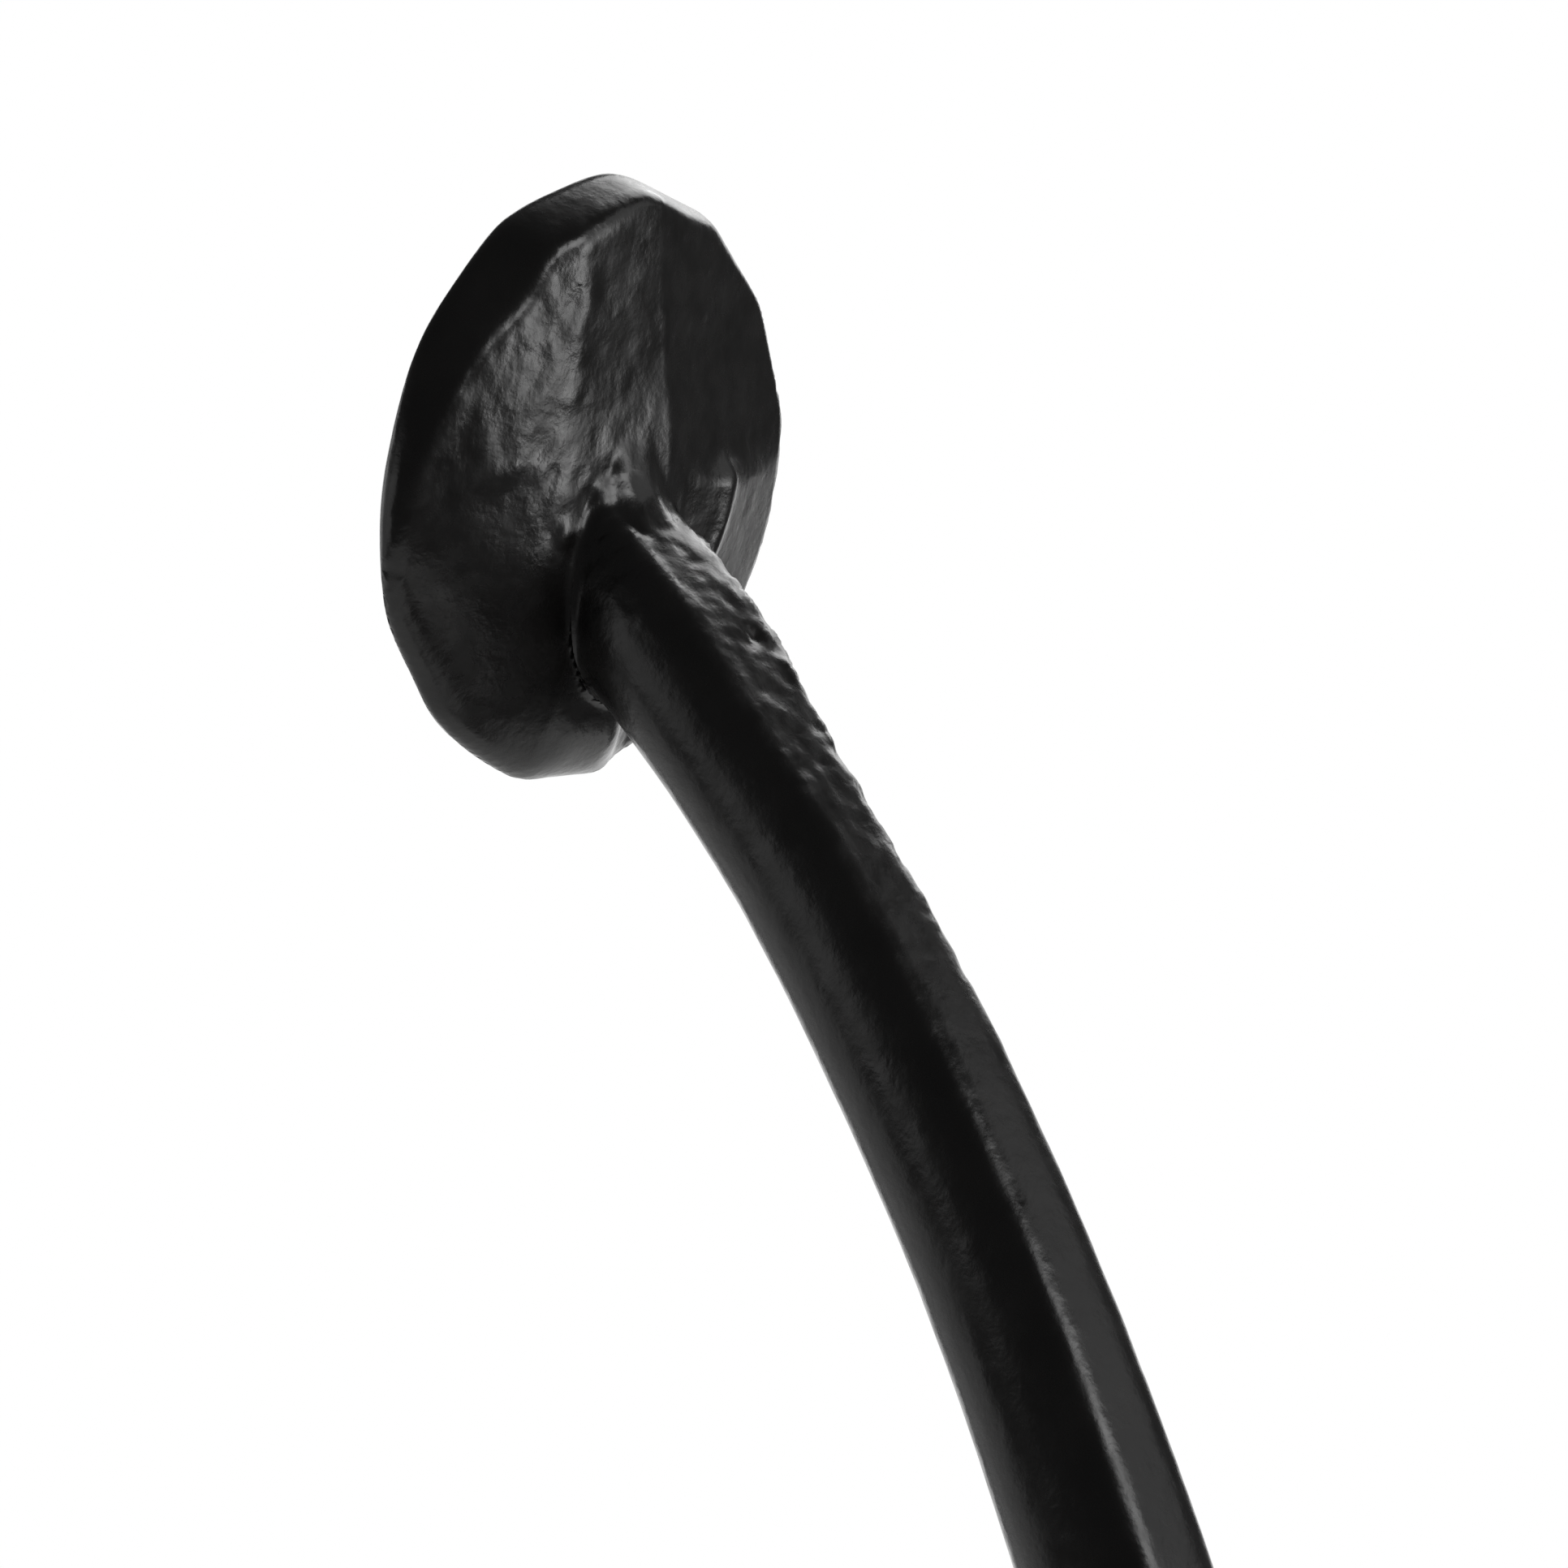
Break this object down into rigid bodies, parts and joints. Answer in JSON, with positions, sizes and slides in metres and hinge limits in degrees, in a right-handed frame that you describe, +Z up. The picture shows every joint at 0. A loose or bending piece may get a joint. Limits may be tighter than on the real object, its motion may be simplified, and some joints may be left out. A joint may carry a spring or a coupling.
{
  "type": "cockspur window handle",
  "caption": "Cast iron cockspur window handle: round-ended backplate, turning hub with a wedge spur, and a curved arm ending in a penny disc.",
  "frame": {"origin": "where the pivot axis of the handle meets the plane of the sash face that the backplate is screwed to", "axes": "+Y along the pivot axis into the window sash, -Y into the room, +Z up along the backplate and the arm at rest, +X the way the spur points"},
  "size_m": [0.038, 0.0632, 0.128],
  "materials": {
    "black_iron": "semi-gloss black paint over a slightly rough iron casting",
    "black_steel": "black painted steel screws and pin",
    "zinc_steel": "dull zinc plated steel",
    "bush_bronze": "oiled sintered bronze",
    "washer_nylon": "natural nylon"
  },
  "bodies": {
    "plate": {"backplate": "black_iron", "pivot_bush": "bush_bronze", "wave_washer": "zinc_steel", "plate_screw_top": "black_steel", "plate_screw_bottom": "black_steel"},
    "lever": {"handle": "black_iron", "pivot_pin": "black_steel", "friction_washer": "washer_nylon", "retaining_washer": "zinc_steel", "retaining_nut": "zinc_steel"}
  },
  "joints": [
    {"name": "handle_turn", "type": "hinge", "parent": "plate", "child": "lever", "pos_m": [0, 0, 0], "axis": [0, -1, 0], "range_deg": [0, 95]}
  ]
}
